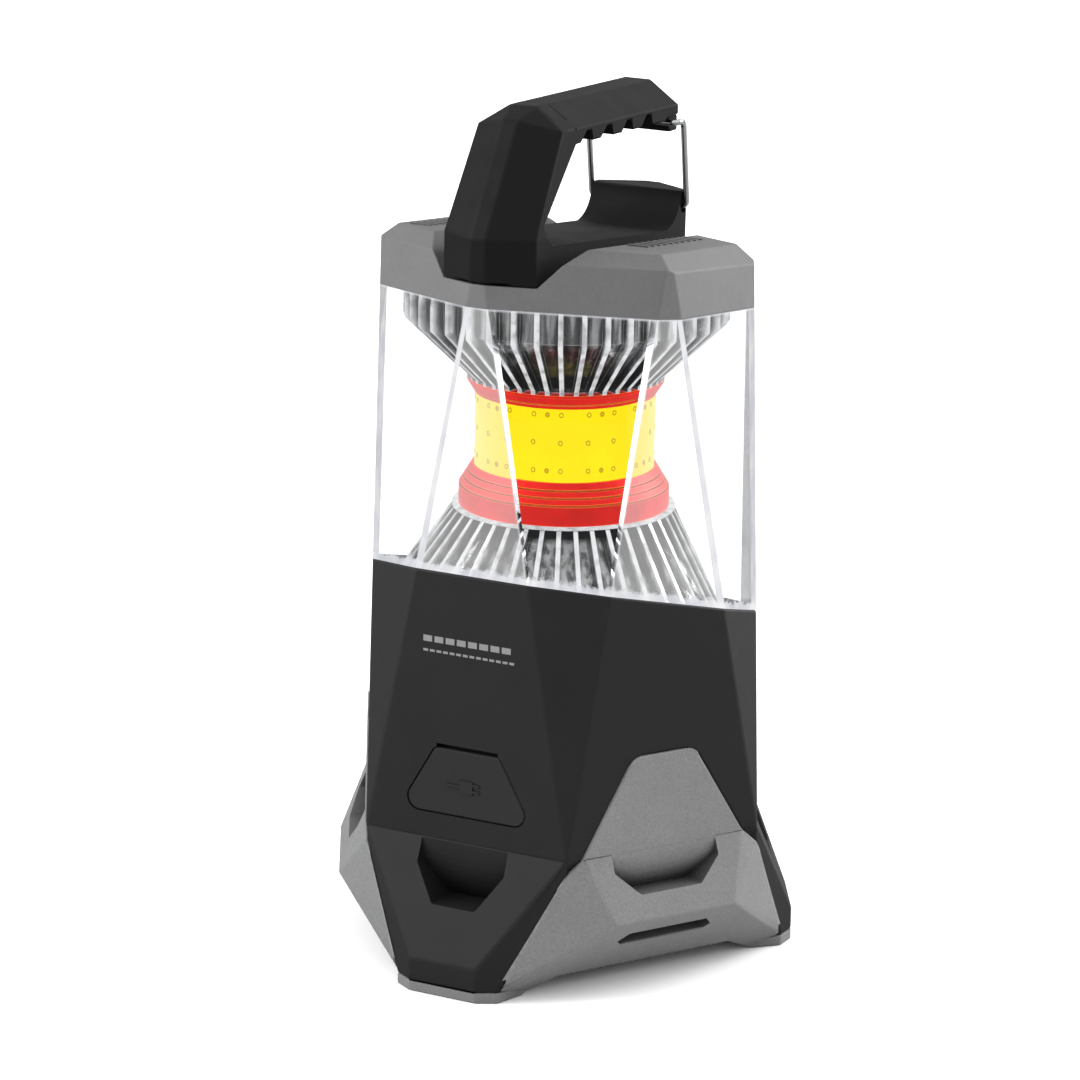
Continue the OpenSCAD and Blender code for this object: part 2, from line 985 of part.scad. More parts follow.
module upper_reflector() {
    color("#d5d8dc")
        difference() {
            union() {
                intersection() {
                    rotate_extrude()
                        bell_outline(0);
                    translate([0, 0, upper_seat_z - 1])
                        linear_extrude(height = 60)
                            fin_set(8, 46);
                }
                rotate_extrude()
                    bell_outline(fin_depth);
            }
            bell_hollow();
            translate([0, 0, upper_seat_z - 2])
                cylinder(r = core_bore, h = 20);
            in_cap_frame(ceiling - 0.1)
                slab(200, 0, 60);
            difference() {
                ring_cylinder(60, upper_refl_r - fin_depth + 0.5, 200);
                skin(lens_wall + 0.15);
            }
        }
}

module lamp_cable() {
    color("#b02020")
        translate([cable_x, 0, 76.5])
            cylinder(d = 3, h = 38);
}

module tie_bolt() {
    color("#9a9da1")
        difference() {
            union() {
                translate([0, 0, bolt_seat - 0.02])
                    cylinder(d = bolt_d, h = bolt_end - bolt_seat);
                translate([0, 0, bolt_seat - 3.02])
                    cylinder(d = 8.5, h = 3);
            }
            translate([0, 0, bolt_seat - 4])
                cylinder(d = 4.6, h = 2.6, $fn = 6);
        }
}

// ---- cap ----

module channel() {
    in_cap_frame(0)
        rotate([90, 0, 0])
            translate([0, 0, -100])
                linear_extrude(height = 200)
                    polygon([[-base_half - 0.1, channel_z * cos(cap_tilt)],
                        [base_half + 0.1, channel_z * cos(cap_tilt)],
                        [base_half + 0.1 + channel_slope * 20, channel_z * cos(cap_tilt) + 20],
                        [-base_half - 0.1 - channel_slope * 20, channel_z * cos(cap_tilt) + 20]]);
}

module cap() {
    color("#77787c")
        difference() {
            intersection() {
                skin(0);
                in_cap_frame(cap_z)
                    slab(160, 0.02, 40);
                in_cap_frame(top_z)
                    rotate([0, 0, 30])
                        translate([0, 0, -30])
                            cylinder(r1 = top_r + bevel_slope * 30, r2 = top_r, h = 30, $fn = 6);
            }
            channel();
            intersection() {
                skin(lip);
                in_cap_frame(ceiling)
                    slab(160, -20, 0);
            }
            intersection() {
                skin(3.2);
                in_cap_frame(ceiling)
                    slab(160, -1, top_z - ceiling - 3);
                union() {
                    translate([24, -60, 150])
                        cube([40, 120, 60]);
                    translate([-64, -60, 150])
                        cube([40, 120, 60]);
                }
            }
            translate([0, 0, ceiling - 5])
                cylinder(d = bolt_d + 0.1, h = 20);
            in_cap_frame(ceiling)
                handle_screw_places()
                    cylinder(d = 4.3, h = 20, center = true);
        }
}

module handle_screw_places() {
    for (y = [-27, 27])
        translate([0, y, 0])
            children();
}

module handle_screws() {
    color("#b9bcc0")
        in_cap_frame(ceiling)
            handle_screw_places()
                translate([0, 0, -0.02])
                    pan_screw(4, 9, 7.4, 2.4);
}

// ---- handle ----

// Post: plan outline with a blunt nose, given half width, nose and back.
function post_ring(half, nose, back, z) = concat([[-half, nose + 6, z], [half, nose + 6, z], [-2, nose, z],
    [2, nose, z]], [[-half, back, z], [half, back, z]]);

module grip_profile() {
    solid_round(concat(pair(crown_half, 23.5, crown_z), pair(grip_half, 24, crown_z - 5.1),
        pair(grip_half, 24, crown_z - 8.9), pair(crown_half, -grip_end, crown_z - 1.7),
        pair(grip_half, -grip_end, crown_z - 7.2), pair(grip_half, -grip_end, crown_z - 10.7)));
}

module post() {
    solid_round(concat(post_ring(base_half, -45.05, -26, channel_z + 5.3),
        post_ring(base_half, -45.05, -26, channel_z + 8), post_ring(base_half, -45.05, -34.6, 183),
        post_ring(12.15, -43.6, -34.8, 185.5), [[base_half, -31.2, 180.7], [-base_half, -31.2, 180.7]]));
    solid_round(concat(post_ring(12.15, -43.6, -34.8, 185.5), pair(2, 29.8, 208.8),
        pair(grip_half, 24.9, crown_z - 5.1), pair(crown_half, 23.5, crown_z),
        pair(crown_half, 18, crown_z - 0.1), pair(grip_half, 18, crown_z - 5.3),
        pair(grip_half, 18, crown_z - 9.1), pair(grip_half, 25.2, 202.2)));
}

module plan_outline() {
    polygon([[-base_half, -39.05], [-2, -45.05], [2, -45.05], [base_half, -39.05], [base_half, 39.05],
        [2, 45.05], [-2, 45.05], [-base_half, 39.05]]);
}

module across(half) {
    rotate([90, 0, 90])
        translate([0, 0, -half])
            linear_extrude(height = 2 * half)
                children();
}

module base_bar() {
    intersection() {
        linear_extrude(height = 250)
            plan_outline();
        union() {
            in_cap_frame(0)
                slab(120, (channel_z + 0.1) * cos(cap_tilt), (top_z + 0.1) * cos(cap_tilt));
            across(20)
                difference() {
                    polygon([[27, 168], [27, nub_z], [46, nub_z - 0.5], [46, 168]]);
                    translate([27, nub_z])
                        circle(r = nub_bend);
                }
        }
    }
}

module finger_notches() {
    for (i = [0 : notches - 1])
        translate([0, -12.6 + i * notch_pitch, -0.28 * i])
            across(20)
                polygon([[-3.1, 202.3], [0, 204.9], [2.1, 204.7], [3.2, 202.2], [3.2, 198], [-3.1, 198]]);
}

module handle() {
    color("#1d1d1f")
        difference() {
            union() {
                base_bar();
                post();
                difference() {
                    grip_profile();
                    finger_notches();
                    across(20)
                        polygon([[28.6, 198], [28.6, 200.9], [29.8, 201.9], [40, 201.9], [40, 198]]);
                }
                across(10.2)
                    polygon([[32.2, 203], [32.2, 199], [33.4, 197.6], [37.3, 197.6], [37.3, 201.2],
                        [35.5, 203]]);
            }
            translate([0, 0, channel_z - 4])
                cylinder(d = bolt_d + 0.1, h = bolt_end - channel_z + 4.4);
            in_cap_frame(ceiling)
                handle_screw_places()
                    cylinder(d = 4.1, h = 9.6);
            translate([-20, pivot_y, pivot_z])
                rotate([0, 90, 0])
                    cylinder(d = wire_d + 2 * run_gap, h = 40);
            for (s = [-1, 1])
                translate([s * (base_half + 1.1), pivot_y, pivot_z])
                    rotate([0, 90, 0])
                        cylinder(d = wire_d + 2, h = 4, center = true);
        }
}

// ---- gate ----

// Quarter bend of wire in the XY plane: centre at the origin, from +X round to +Y.
module wire_bend(r) {
    rotate_extrude(angle = 90)
        translate([r, 0])
            circle(d = wire_d, $fn = 48);
}

module wire_run(length) {
    cylinder(d = wire_d, h = length, $fn = 48);
}

module half_gate() {
    // pin, running in from the leg
    translate([leg_half - turn_r, 0, 0])
        rotate([0, -90, 0])
            wire_run(leg_half - turn_r - 7.4);
    // pin to leg
    translate([leg_half - turn_r, 0, turn_r])
        rotate([90, 90, 0])
            wire_bend(turn_r);
    // leg
    translate([leg_half, 0, turn_r])
        wire_run(gate_h - bend_r - turn_r);
    // leg to the short run forward
    translate([leg_half, -bend_r, gate_h - bend_r])
        rotate([90, 0, 90])
            wire_bend(bend_r);
    // forward run into the crossbar
    translate([leg_half - turn_r, -bend_r, gate_h])
        rotate([180, 0, 0])
            wire_bend(turn_r);
    translate([0, -bend_r - turn_r, gate_h])
        rotate([0, 90, 0])
            wire_run(leg_half - turn_r);
}

module gate() {
    color("#c8cbce")
        translate([0, pivot_y, pivot_z])
            rotate([gate_lean, 0, 0]) {
                half_gate();
                mirror([1, 0, 0])
                    half_gate();
            }
}

housing();
boot();
bottom_plate();
bottom_seal();
base_screws();
cell_left();
cell_right();
cell_rear();
tray_lower();
tray_upper();
strap_lower();
strap_upper();
main_board();
board_screws();
usb_a_socket();
usb_c_socket();
port_door();
power_button();
switch();
switch_board();
deck();
deck_screws();
lens();
lens_seal_lower();
lens_seal_upper();
lower_reflector();
lower_ring();
light_tube();
lamp_core();
upper_ring();
upper_reflector();
lamp_cable();
tie_bolt();
cap();
handle();
handle_screws();
gate();
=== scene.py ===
"""Looks of the rechargeable lantern: materials, small details, floor, light and camera."""

import json
import math

import bmesh
import bpy
from mathutils import Matrix, Vector
from mathutils.bvhtree import BVHTree

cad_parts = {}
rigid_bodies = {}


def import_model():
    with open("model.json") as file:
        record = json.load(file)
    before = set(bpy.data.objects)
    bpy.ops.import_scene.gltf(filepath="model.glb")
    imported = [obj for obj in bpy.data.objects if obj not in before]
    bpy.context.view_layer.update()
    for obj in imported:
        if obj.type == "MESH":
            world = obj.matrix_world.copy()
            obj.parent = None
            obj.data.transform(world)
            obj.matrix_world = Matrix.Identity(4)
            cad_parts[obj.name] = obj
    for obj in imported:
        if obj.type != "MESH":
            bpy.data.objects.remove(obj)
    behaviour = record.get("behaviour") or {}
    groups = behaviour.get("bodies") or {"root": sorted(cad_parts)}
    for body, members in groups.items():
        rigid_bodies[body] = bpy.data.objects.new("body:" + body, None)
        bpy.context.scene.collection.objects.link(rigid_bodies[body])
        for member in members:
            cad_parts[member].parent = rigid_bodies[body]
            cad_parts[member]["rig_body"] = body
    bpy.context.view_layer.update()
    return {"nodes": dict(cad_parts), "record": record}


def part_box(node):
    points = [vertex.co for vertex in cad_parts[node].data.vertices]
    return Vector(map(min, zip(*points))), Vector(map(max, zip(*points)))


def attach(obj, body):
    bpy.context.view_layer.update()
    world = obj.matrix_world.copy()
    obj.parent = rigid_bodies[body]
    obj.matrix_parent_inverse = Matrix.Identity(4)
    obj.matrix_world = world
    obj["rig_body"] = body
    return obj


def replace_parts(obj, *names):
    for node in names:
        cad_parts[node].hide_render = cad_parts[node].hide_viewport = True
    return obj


MM = 0.001
WHITE = (1.0, 1.0, 1.0)

# the plane in which the lens wall stands on the housing: its height on the axis, and its rise to the front
DECK_HEIGHT = 89.94 * MM
DECK_TILT = math.atan(0.262)

# the camera's place, from the photo's perspective
AZIMUTH = math.radians(28.049)
ELEVATION = math.radians(15.214)
ROLL = math.radians(0.924)
DISTANCE = 1116.37 * MM
ASIDE = -5.54 * MM
AIM_HEIGHT = 100.205 * MM
FOCAL_MM = 151.66
SENSOR_MM = 36.0

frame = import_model()
NODES = frame["nodes"]
SLOTS = {row["node"]: row["material_slot"] for row in frame["record"]["subparts"]}


# ---- node trees ----

class Nodes:
    """A node tree being built. Calls return sockets, and take sockets or plain values."""

    def __init__(self, owner, output):
        owner.use_nodes = True
        self.tree = owner.node_tree
        self.tree.nodes.clear()
        self.output = self.tree.nodes.new("ShaderNodeOutput" + output)

    def put(self, socket, value):
        if isinstance(value, bpy.types.NodeSocket):
            self.tree.links.new(value, socket)
        elif socket.type == "RGBA" and len(value) == 3:
            socket.default_value = (*value, 1.0)
        else:
            socket.default_value = value

    def node(self, kind, inputs, **settings):
        made = self.tree.nodes.new("ShaderNode" + kind)
        for key, value in settings.items():
            setattr(made, key, value)
        for key, value in inputs.items():
            self.put(made.inputs[key], value)
        return made

    def math(self, operation, a, b=0.0):
        return self.node("Math", {0: a, 1: b}, operation=operation).outputs[0]

    def times(self, first, *others):
        for other in others:
            first = self.math("MULTIPLY", first, other)
        return first

    def dot(self, a, b):
        return self.node("VectorMath", {0: a, 1: b}, operation="DOT_PRODUCT").outputs["Value"]

    def between(self, value, low, high, to_low=0.0, to_high=1.0, kind="LINEAR"):
        """Takes low..high to to_low..to_high, and stays there outside."""
        return self.node("MapRange", {"Value": value, "From Min": low, "From Max": high, "To Min": to_low,
                                      "To Max": to_high}, interpolation_type=kind).outputs["Result"]

    def ray(self, name):
        return self.node("LightPath", {}).outputs[name]

    def bounces(self):
        """0 for what the camera sees directly or through the lens, 1 for what it sees in a reflection."""
        return self.math("MINIMUM", self.ray("Glossy Depth"), 1.0)

    def finish(self, shader):
        self.tree.links.new(shader, self.output.inputs["Surface"])


class Shader(Nodes):
    """A node material being built."""

    def __init__(self, name):
        self.material = bpy.data.materials.new(name)
        super().__init__(self.material, "Material")
        self.place = self.node("TexCoord", {}).outputs["Object"]

    def noise(self, size, detail=2.0, roughness=0.5, stretch=(1, 1, 1)):
        """Soft noise from 0 to 1 whose blobs are about size metres across."""
        placed = self.node("Mapping", {"Vector": self.place, "Scale": stretch}).outputs[0]
        return self.node("TexNoise", {"Vector": placed, "Scale": 1 / size, "Detail": detail,
                                      "Roughness": roughness}).outputs["Fac"]

    def mix(self, share, a, b):
        """Colour a where share is 0, b where it is 1."""
        return self.node("Mix", {0: share, 6: a, 7: b}, data_type="RGBA").outputs[2]

    def grey(self, tone):
        return self.node("CombineXYZ", {0: tone, 1: tone, 2: tone}).outputs[0]

    def scaled(self, colour, tone):
        return self.node("VectorMath", {0: colour, "Scale": tone}, operation="SCALE").outputs["Vector"]

    def bump(self, height, depth, normal=None):
        """Raises the surface by depth metres where height is 1."""
        inputs = {"Height": height, "Strength": 1.0, "Distance": depth}
        if normal is not None:
            inputs["Normal"] = normal
        return self.node("Bump", inputs).outputs["Normal"]

    def edges(self, radius, sharpness=3.0):
        """1 on outer and inner edges, 0 on flat places."""
        soft = self.node("Bevel", {"Radius": radius}, samples=4).outputs["Normal"]
        flat = self.node("NewGeometry", {}).outputs["Normal"]
        return self.between(self.dot(soft, flat), 1.0, 1.0 - 1.0 / sharpness)

    def openness(self, reach):
        """0 deep in hollows of the same piece, 1 on open faces."""
        return self.node("AmbientOcclusion", {"Distance": reach}, samples=6, only_local=True).outputs["AO"]

    def facing(self):
        """0 where the surface faces the ray, 1 where it is seen edge on."""
        return self.node("LayerWeight", {"Blend": 0.5}).outputs["Facing"]

    def surface(self, inputs):
        return self.node("BsdfPrincipled", inputs).outputs["BSDF"]

    def glow(self, colour, strength):
        return self.node("Emission", {"Color": colour, "Strength": strength}).outputs[0]

    def over(self, share, below, above):
        """Shader below where share is 0, above where it is 1."""
        return self.node("MixShader", {0: share, 1: below, 2: above}).outputs[0]

    def finish(self, shader):
        super().finish(shader)
        return self.material


# ---- materials ----

def moulded(name, colour, rough, grain=0.35 * MM, depth=0.012 * MM, wear_and_highlight=0.25, shine=0.4, speckle=0.0,
            hollow_shade_tone=0.35, hollow_shade_reach=9 * MM):
    """Moulded plastic or rubber: fine grain, faint blotches, speckle, edges paler where worn and with a
    painted highlight, and painted shade in hollows.
    """
    s = Shader(name)
    blotch, dust = 0.05, 0.03
    tone = s.between(s.noise(22 * MM, 3.0), 0.3, 0.7, 1 - blotch, 1 + blotch)
    tone = s.times(tone, s.between(s.noise(2.2 * MM, 4.0, 0.7), 0.35, 0.75, 1 - dust, 1 + dust))
    if speckle:
        pebbles = s.noise(0.55 * MM, 2.0, 0.7)
        tone = s.times(tone, s.between(pebbles, 0.3, 0.7, 1 - speckle, 1 + speckle))
    # painted shade: darker in hollows of the same piece
    tone = s.times(tone, s.between(s.openness(hollow_shade_reach), 0.35, 0.95, hollow_shade_tone, 1.0))
    # paler edges: partly worn, partly a painted highlight where edges would catch the light
    broken = s.between(s.noise(1.5 * MM, 3.0, 0.7), 0.4, 0.65)
    rubbed_and_lit = s.times(s.edges(0.5 * MM), broken, wear_and_highlight)
    pale = tuple(min(1.0, c * 2.2 + 0.05) for c in colour)
    base = s.mix(rubbed_and_lit, s.scaled(colour, tone), pale)
    polish = s.between(s.noise(9 * MM, 4.0, 0.6), 0.3, 0.7, rough - 0.05, rough + 0.06)
    roughness = s.math("SUBTRACT", polish, s.times(rubbed_and_lit, 0.25))
    return s.finish(s.surface({"Base Color": base, "Roughness": roughness, "Specular IOR Level": shine,
                               "Normal": s.bump(s.noise(grain, 2.0, 0.6), depth)}))


def metal(name, colour, rough, brush=(1, 1, 1)):
    """Bare metal: lines brushed along one way and an uneven polish."""
    s = Shader(name)
    lines = s.bump(s.noise(0.5 * MM, 3.0, 0.6, brush), 0.004 * MM)
    smudge = s.noise(6 * MM, 3.0, 0.6)
    dull = tuple(c * 0.88 for c in colour)
    base = s.mix(s.between(smudge, 0.3, 0.8, 0.0, 0.5), colour, dull)
    roughness = s.between(smudge, 0.3, 0.7, rough * 0.7, rough * 1.3)
    return s.finish(s.surface({"Base Color": base, "Metallic": 1.0, "Roughness": roughness, "Normal": lines}))


def chrome(name):
    """Metallised plastic of the two reflectors, with slow waves: painted white glow on fin crests and edges,
    painted shade in the troughs.
    """
    s = Shader(name)
    waves = s.bump(s.noise(5 * MM, 1.0), 0.1 * MM)
    normal = s.bump(s.noise(0.4 * MM), 0.002 * MM, waves)
    openness = s.openness(3.5 * MM)
    streaks = s.between(s.noise(2.4 * MM, stretch=(1, 1, 0.14)), 0.42, 0.56, 0.35, 1.15)
    # painted shade: the base colour is dark in the troughs and bright on open faces
    base = s.grey(s.times(s.between(openness, 0.45, 0.9, 0.04, 1.0), streaks))
    roughness = s.between(s.noise(6 * MM, 3.0, 0.6), 0.3, 0.7, 0.06, 0.16)
    mirror = s.surface({"Base Color": base, "Metallic": 1.0, "Roughness": roughness, "Normal": normal})
    # painted reflection: fin crests and edges glow white, in place of the mirrored white studio
    crests = s.between(openness, 0.84, 0.96, 0.0, 0.85)
    fin_edges = s.times(s.edges(0.3 * MM, 6.0), s.between(openness, 0.45, 0.8))
    patches = s.between(s.noise(3 * MM), 0.35, 0.6, 0.5, 1.0)
    painted_glint = s.times(s.math("MAXIMUM", crests, fin_edges), patches)
    return s.finish(s.over(painted_glint, mirror, s.glow((0.97, 0.98, 1.0), 1.0)))


def lens_wall(s):
    """The clear wall itself, with slow ripples and a faint uneven polish."""
    tint = s.mix(s.between(s.noise(30 * MM), 0.3, 0.7), (0.985, 0.99, 0.995), (0.975, 0.985, 0.99))
    ripple = s.bump(s.noise(14 * MM, 1.0), 0.01 * MM)
    ripple = s.bump(s.noise(0.6 * MM), 0.0004 * MM, ripple)
    roughness = s.between(s.noise(8 * MM, 3.0), 0.35, 0.75, 0.0, 0.02)
    return s.surface({"Base Color": tint, "Transmission Weight": 1.0, "IOR": 1.52, "Roughness": roughness,
                      "Specular IOR Level": 0.3, "Normal": ripple})


def lens_bars(s, glass, pale):
    """Painted light: the front wall glows as pale bars at its corners, where light turned back inside it
    would leave.
    """
    from_first = s.math("ABSOLUTE", s.math("SUBTRACT", s.ray("Transmission Depth"), 1.0))
    in_front_wall = s.math("LESS_THAN", from_first, 0.5)
    slanted = s.between(s.facing(), 0.12, 0.25, 0.2, 0.88)
    turned_twice = s.between(s.ray("Glossy Depth"), 1.0, 2.0, 0.2, 1.0)
    strength = s.math("MAXIMUM", turned_twice, slanted)
    return s.over(s.times(in_front_wall, s.bounces()), glass, s.glow(pale, strength))


def lens_veil(s, glass, seen):
    """Painted reflection: walls turned a little away glow faintly white, as if mirroring the studio. Painted
    shade: walls seen at a low angle are darkened by a black glow.
    """
    painted_veil, painted_dimming = 0.26, 0.1
    facing = s.facing()
    low_angle = s.between(facing, 0.25, 0.42)
    turned = s.times(s.between(facing, 0.08, 0.14, 0.0, painted_veil), s.math("SUBTRACT", 1.0, low_angle))
    glass = s.over(s.times(turned, seen), glass, s.glow(WHITE, 1.0))
    return s.over(s.times(low_angle, painted_dimming, seen), glass, s.glow(WHITE, 0.0))


def lens_rims(s, glass, seen, pale):
    """Painted light: the corner lines and the foot of the wall glow softly."""
    place = s.node("SeparateXYZ", {0: s.place}).outputs
    rise = s.times(s.math("SUBTRACT", place["Z"], DECK_HEIGHT), math.cos(DECK_TILT))
    over_deck = s.math("ADD", rise, s.times(place["Y"], math.sin(DECK_TILT)))
    band = s.between(s.noise(2.5 * MM, 3.0, 0.7), 0.3, 0.7, 1.2 * MM, 3.2 * MM)
    foot = s.between(s.math("DIVIDE", over_deck, band), 0.6, 1.0, 0.8, 0.0)
    corners = s.times(s.edges(0.8 * MM, 50.0), 0.72)
    return s.over(s.times(s.math("MAXIMUM", foot, corners), seen), glass, s.glow(pale, 0.96))


def clear_lens(name):
    """Clear polycarbonate. Diffuse light and shadows pass it almost as if it were not there."""
    s = Shader(name)
    seen = s.ray("Is Camera Ray")
    # colour of the painted glows at the corners and the foot of the wall
    pale = s.mix(s.between(s.noise(7 * MM), 0.35, 0.65), (0.74, 0.75, 0.82), (0.98, 0.98, 1.0))
    glass = lens_bars(s, lens_wall(s), pale)
    glass = lens_veil(s, glass, seen)
    glass = lens_rims(s, glass, seen, pale)
    through = s.node("BsdfTransparent", {"Color": (0.96, 0.97, 0.98)}).outputs[0]
    soft_ray = s.math("MAXIMUM", s.ray("Is Shadow Ray"), s.ray("Is Diffuse Ray"))
    return s.finish(s.over(soft_ray, glass, through))


def lit_phosphor(name, colour, pale_colour, strength):
    """The lit tube: saturated yellow face on, paler at its edges. It lights what is round it."""
    s = Shader(name)
    patches = s.noise(16 * MM)
    pale = s.times(s.between(s.facing(), 0.3, 0.95), s.between(patches, 0.3, 0.7, 0.5, 0.9))
    grain = s.between(s.noise(0.7 * MM, 3.0, 0.6), 0.3, 0.7, 0.97, 1.03)
    cloud = s.between(patches, 0.3, 0.7, 0.94, 1.04)
    lighting = s.between(s.ray("Is Diffuse Ray"), 0.0, 1.0, strength, strength * 2.6)
    in_mirrors = s.between(s.bounces(), 0.0, 1.0, 1.0, 0.1)
    dark = s.between(s.noise(1.1 * MM), 0.3, 0.7, 0.0, 0.02)
    base = s.node("CombineXYZ", {0: dark, 1: dark}).outputs[0]
    return s.finish(s.surface({"Base Color": base, "Roughness": 0.6, "Specular IOR Level": 0.0,
                               "Emission Color": s.mix(pale, colour, pale_colour),
                               "Emission Strength": s.times(grain, cloud, lighting, in_mirrors)}))


def anodised(name, colour, rough):
    """Turned and anodised aluminium: fine rings round the axis, painted shade in hollows, and a painted glow:
    faint red, orange at grooves and rims.
    """
    s = Shader(name)
    ring_step = 0.22 * MM
    height = s.node("SeparateXYZ", {0: s.place}).outputs["Z"]
    turned = s.bump(s.math("SINE", s.times(height, 2 * math.pi / ring_step)), 0.004 * MM)
    normal = s.bump(s.noise(0.3 * MM), 0.006 * MM, turned)
    base = s.mix(s.between(s.noise(5 * MM, 3.0), 0.3, 0.7), colour, tuple(c * 0.75 for c in colour))
    # painted shade: darker in hollows, and much darker where seen in a reflection
    shade = s.between(s.openness(3 * MM), 0.35, 0.95, 0.3, 1.0)
    in_mirrors = s.between(s.bounces(), 0.0, 1.0, 1.0, 0.15)
    # painted highlight: the whole ring glows faintly red, and grooves and rims glow orange as if they caught
    # the lamp
    painted_glint = s.edges(ring_step, 5.0)
    light = s.mix(painted_glint, tuple(c * 0.34 for c in colour), (1.0, 0.4, 0.03))
    power = s.times(s.between(painted_glint, 0.0, 1.0, 1.0, 0.9), s.math("SUBTRACT", 1.0, s.bounces()))
    return s.finish(s.surface({"Base Color": s.scaled(base, s.times(shade, in_mirrors)), "Metallic": 0.4,
                               "Roughness": rough, "Normal": normal, "Specular IOR Level": 0.12,
                               "Emission Color": light, "Emission Strength": power}))


MATERIALS = {
    "black_plastic": moulded("black_plastic", (0.017, 0.0172, 0.0178), 0.5, wear_and_highlight=0.12, shine=0.28,
                             hollow_shade_tone=0.75),
    "grey_rubber": moulded("grey_rubber", (0.235, 0.236, 0.239), 0.62, grain=0.5 * MM, depth=0.03 * MM,
                           wear_and_highlight=0.3, speckle=0.12, hollow_shade_tone=0.12, hollow_shade_reach=14 * MM),
    "grey_plastic": moulded("grey_plastic", (0.168, 0.169, 0.172), 0.55, wear_and_highlight=0.12, speckle=0.05),
    "seal_rubber": moulded("seal_rubber", (0.72, 0.73, 0.75), 0.5),
    "black_rubber": moulded("black_rubber", (0.022, 0.0222, 0.0228), 0.6, wear_and_highlight=0.1, shine=0.3),
    "grip_rubber": moulded("grip_rubber", (0.008, 0.0081, 0.0085), 0.6, wear_and_highlight=0.1, shine=0.15),
    "button_rubber": moulded("button_rubber", (0.5, 0.1, 0.03), 0.6),
    "white_plastic": moulded("white_plastic", (0.7, 0.7, 0.67), 0.5),
    "circuit_board": moulded("circuit_board", (0.02, 0.16, 0.06), 0.35),
    "cell_wrap": moulded("cell_wrap", (0.05, 0.2, 0.45), 0.3),
    "cable_red": moulded("cable_red", (0.5, 0.02, 0.02), 0.4),
    "screw_steel": metal("screw_steel", (0.6, 0.61, 0.63), 0.3),
    "nickel": metal("nickel", (0.7, 0.69, 0.67), 0.25),
    "bare_aluminium": metal("bare_aluminium", (0.75, 0.76, 0.78), 0.3),
    "gate_steel": metal("gate_steel", (0.72, 0.73, 0.75), 0.16, (1, 1, 0.1)),
    "mirror_finish": chrome("mirror_finish"),
    "red_anodised": anodised("red_anodised", (0.78, 0.008, 0.003), 0.34),
    "yellow_phosphor": lit_phosphor("yellow_phosphor", (0.93, 0.74, 0.0), (1.0, 0.88, 0.30), 1.22),
    "clear_lens": clear_lens("clear_lens"),
}


# ---- shells with soft edges ----

SIDE_TURN = math.radians(60)
# half width and foot height of the hollow under the knee, on black faces and on grey faces
POCKETS = ((12.8 * MM, 19.5 * MM), (15.7 * MM, 25.0 * MM))
POCKET_TOP = 36.9 * MM
WELD = 0.002 * MM
FLAT_ANGLE = math.radians(0.6)
EDGE_ANGLE = math.radians(12)
ROUND_PARTS = 4


def add_piece(name, bm, material, on):
    """Turns a finished bmesh into a piece that rides with the CAD node on, and takes the given material."""
    mesh = bpy.data.meshes.new(name)
    bm.to_mesh(mesh)
    bm.free()
    mesh.materials.append(material)
    piece = bpy.data.objects.new(name, mesh)
    bpy.context.scene.collection.objects.link(piece)
    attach(piece, NODES[on]["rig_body"])
    return piece


def at_pocket(point):
    """True next to the hollow under the knee of a side face, where every edge stays crisp."""
    turn = round(math.atan2(point.x, -point.y) / SIDE_TURN)
    aside = abs(point.x * math.cos(turn * SIDE_TURN) + point.y * math.sin(turn * SIDE_TURN))
    half_width, foot = POCKETS[turn % 2]
    return aside < half_width and foot < point.z < POCKET_TOP


def softened(name, width, shortest, crisp_box=None):
    """Replaces a CAD shell by the same faces with outer edges rounded, save those that are very short, at a
    pocket or inside crisp_box."""
    bm = bmesh.new()
    bm.from_mesh(NODES[name].data)
    for face in bm.faces:
        face.smooth = False
    bmesh.ops.remove_doubles(bm, verts=bm.verts, dist=WELD)
    bmesh.ops.dissolve_limit(bm, angle_limit=FLAT_ANGLE, verts=bm.verts, edges=bm.edges)

    def is_rounded(edge):
        if not edge.is_manifold or not edge.is_convex or edge.calc_length() < shortest:
            return False
        middle = (edge.verts[0].co + edge.verts[1].co) / 2
        if crisp_box and all(low <= c <= high for low, c, high in zip(crisp_box[0], middle, crisp_box[1])):
            return False
        return edge.calc_face_angle() > EDGE_ANGLE and not at_pocket(middle)

    edges = [edge for edge in bm.edges if is_rounded(edge)]
    rounded = bmesh.ops.bevel(bm, geom=edges, offset=width, segments=ROUND_PARTS, profile=0.5,
                              affect="EDGES", clamp_overlap=False)["faces"]
    for face in rounded:
        face.smooth = True
    bmesh.ops.triangulate(bm, faces=[face for face in bm.faces if len(face.verts) > 4])
    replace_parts(add_piece(name + "_soft", bm, MATERIALS[SLOTS[name]], name), name)


# ---- small raised marks ----

FAR_OUT = 0.3
# a bar's corners in order, as shares of its sides
CORNERS = ((-0.5, -0.5), (0.5, -0.5), (0.5, 0.5), (-0.5, 0.5))
TUBE_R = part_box("light_tube")[1].x
DOT_SIDES = 12
DOT_TURNS = [math.tau * k / DOT_SIDES for k in range(DOT_SIDES)]
DOT_STRETCH = 1.15
RING_HOLE, DOT_HOLE = 0.34, 0.12
RINGS, GROUPS = 20, 10


def bars(count, first, step, across, along):
    """Outlines of a row of equal bars, in millimetres: first middle, step to the next, and two sides."""
    outlines = []
    for i in range(count):
        middle = Vector(first) + Vector(step) * i
        outlines.append([(middle + Vector(across) * a + Vector(along) * b) * MM for a, b in CORNERS])
    return outlines


